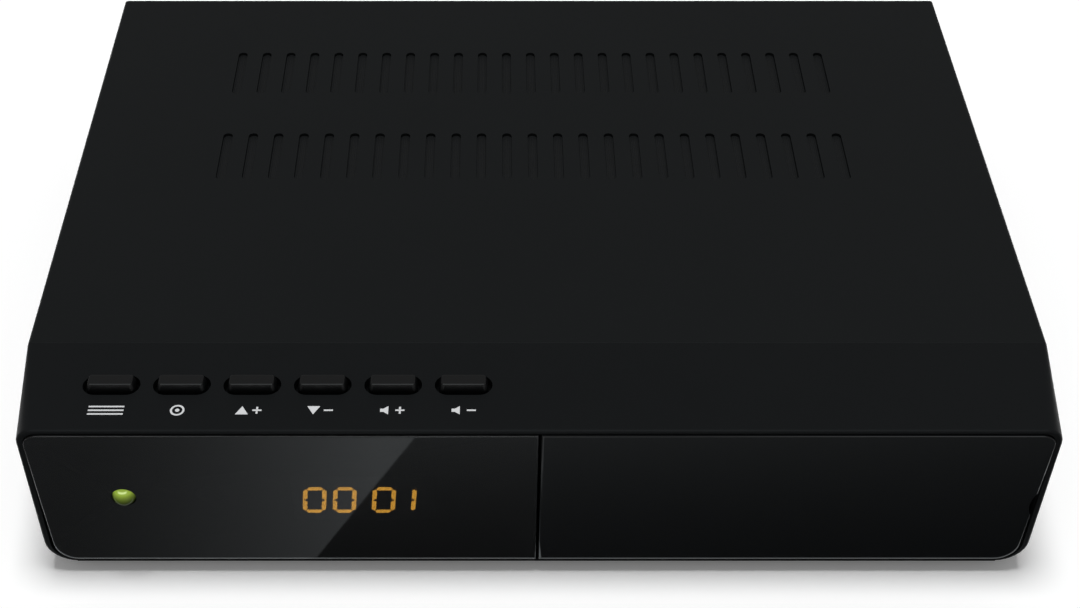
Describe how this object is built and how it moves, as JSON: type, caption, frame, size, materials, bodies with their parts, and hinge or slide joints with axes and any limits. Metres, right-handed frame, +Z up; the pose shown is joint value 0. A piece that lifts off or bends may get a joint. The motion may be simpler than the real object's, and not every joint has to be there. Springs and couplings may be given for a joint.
{
  "type": "satellite television receiver",
  "caption": "Compact black satellite receiver: folded steel case with vent slots, moulded front with push buttons, display window and a hinged flap, sockets on the rear wall",
  "frame": {"origin": "centre of the footprint, on the surface that the feet stand on", "axes": "+X to the right seen from the front, +Y to the rear, +Z up"},
  "size_m": [0.2236, 0.1694, 0.0473],
  "materials": {
    "top_cover": "powder coated, satin black",
    "dust_screen": "fine black mesh",
    "chassis_tray": "zinc plated",
    "front_bezel": "moulded, fine satin",
    "port_plate": "moulded, fine satin",
    "display_window": "smoked, polished",
    "front_flap": "polished",
    "rubber_feet": "matte",
    "cover_screws": "black",
    "board_screws": "plated",
    "bezel_screws": "plated",
    "front_board_screws": "plated",
    "button_menu": "satin",
    "button_ok": "satin",
    "button_channel_up": "satin",
    "button_channel_down": "satin",
    "button_volume_up": "satin",
    "button_volume_down": "satin",
    "plunger_menu": "moulded",
    "plunger_ok": "moulded",
    "plunger_channel_up": "moulded",
    "plunger_channel_down": "moulded",
    "plunger_volume_up": "moulded",
    "plunger_volume_down": "moulded",
    "switch_bodies": "moulded",
    "front_board": "solder mask",
    "led_display": "dark face",
    "display_segments": "lit",
    "status_lamp": "lit lens",
    "infrared_receiver": "dark lens",
    "front_header": "moulded",
    "ribbon_cable": "flat cable",
    "main_board": "solder mask",
    "board_header": "moulded",
    "usb_port": "nickel",
    "usb_tongue": "moulded",
    "card_reader": "moulded",
    "tuner_can": "tinned",
    "tuner_lid": "tinned",
    "aerial_input": "nickel",
    "aerial_output": "nickel",
    "video_port": "nickel",
    "video_tongue": "moulded",
    "scart_socket": "moulded",
    "audio_jack": "moulded",
    "power_inlet": "moulded",
    "power_pin": "nickel",
    "main_chip": "chip",
    "heat_sink": "extruded",
    "memory_chips": "chip",
    "flash_chip": "chip",
    "aerial_supply_chip": "chip",
    "regulators": "chip",
    "capacitors": "sleeve",
    "power_coils": "ferrite",
    "crystal": "can"
  },
  "bodies": {
    "case": {"top_cover": "top_cover", "dust_screen": "dust_screen", "chassis_tray": "chassis_tray", "front_bezel": "front_bezel", "port_plate": "port_plate", "display_window": "display_window", "rubber_feet": "rubber_feet", "cover_screws": "cover_screws", "board_screws": "board_screws", "bezel_screws": "bezel_screws", "front_board_screws": "front_board_screws", "switch_bodies": "switch_bodies", "front_board": "front_board", "led_display": "led_display", "display_segments": "display_segments", "status_lamp": "status_lamp", "infrared_receiver": "infrared_receiver", "front_header": "front_header", "ribbon_cable": "ribbon_cable", "main_board": "main_board", "board_header": "board_header", "usb_port": "usb_port", "usb_tongue": "usb_tongue", "card_reader": "card_reader", "tuner_can": "tuner_can", "tuner_lid": "tuner_lid", "aerial_input": "aerial_input", "aerial_output": "aerial_output", "video_port": "video_port", "video_tongue": "video_tongue", "scart_socket": "scart_socket", "audio_jack": "audio_jack", "power_inlet": "power_inlet", "power_pin": "power_pin", "main_chip": "main_chip", "heat_sink": "heat_sink", "memory_chips": "memory_chips", "flash_chip": "flash_chip", "aerial_supply_chip": "aerial_supply_chip", "regulators": "regulators", "capacitors": "capacitors", "power_coils": "power_coils", "crystal": "crystal"},
    "menu_key": {"button_menu": "button_menu", "plunger_menu": "plunger_menu"},
    "ok_key": {"button_ok": "button_ok", "plunger_ok": "plunger_ok"},
    "channel_up_key": {"button_channel_up": "button_channel_up", "plunger_channel_up": "plunger_channel_up"},
    "channel_down_key": {"button_channel_down": "button_channel_down", "plunger_channel_down": "plunger_channel_down"},
    "volume_up_key": {"button_volume_up": "button_volume_up", "plunger_volume_up": "plunger_volume_up"},
    "volume_down_key": {"button_volume_down": "button_volume_down", "plunger_volume_down": "plunger_volume_down"},
    "flap": {"front_flap": "front_flap"}
  },
  "joints": [
    {"name": "menu_press", "type": "slide", "parent": "case", "child": "menu_key", "axis": [0, 0, -1], "range_m": [0, 0.0005], "stiffness_N_per_m": 800},
    {"name": "ok_press", "type": "slide", "parent": "case", "child": "ok_key", "axis": [0, 0, -1], "range_m": [0, 0.0005], "stiffness_N_per_m": 800},
    {"name": "channel_up_press", "type": "slide", "parent": "case", "child": "channel_up_key", "axis": [0, 0, -1], "range_m": [0, 0.0005], "stiffness_N_per_m": 800},
    {"name": "channel_down_press", "type": "slide", "parent": "case", "child": "channel_down_key", "axis": [0, 0, -1], "range_m": [0, 0.0005], "stiffness_N_per_m": 800},
    {"name": "volume_up_press", "type": "slide", "parent": "case", "child": "volume_up_key", "axis": [0, 0, -1], "range_m": [0, 0.0005], "stiffness_N_per_m": 800},
    {"name": "volume_down_press", "type": "slide", "parent": "case", "child": "volume_down_key", "axis": [0, 0, -1], "range_m": [0, 0.0005], "stiffness_N_per_m": 800},
    {"name": "flap_hinge", "type": "hinge", "parent": "case", "child": "flap", "pos_m": [0.0035, -0.0803, 0.0243], "axis": [0, 0, -1], "range_deg": [0, 100]}
  ]
}
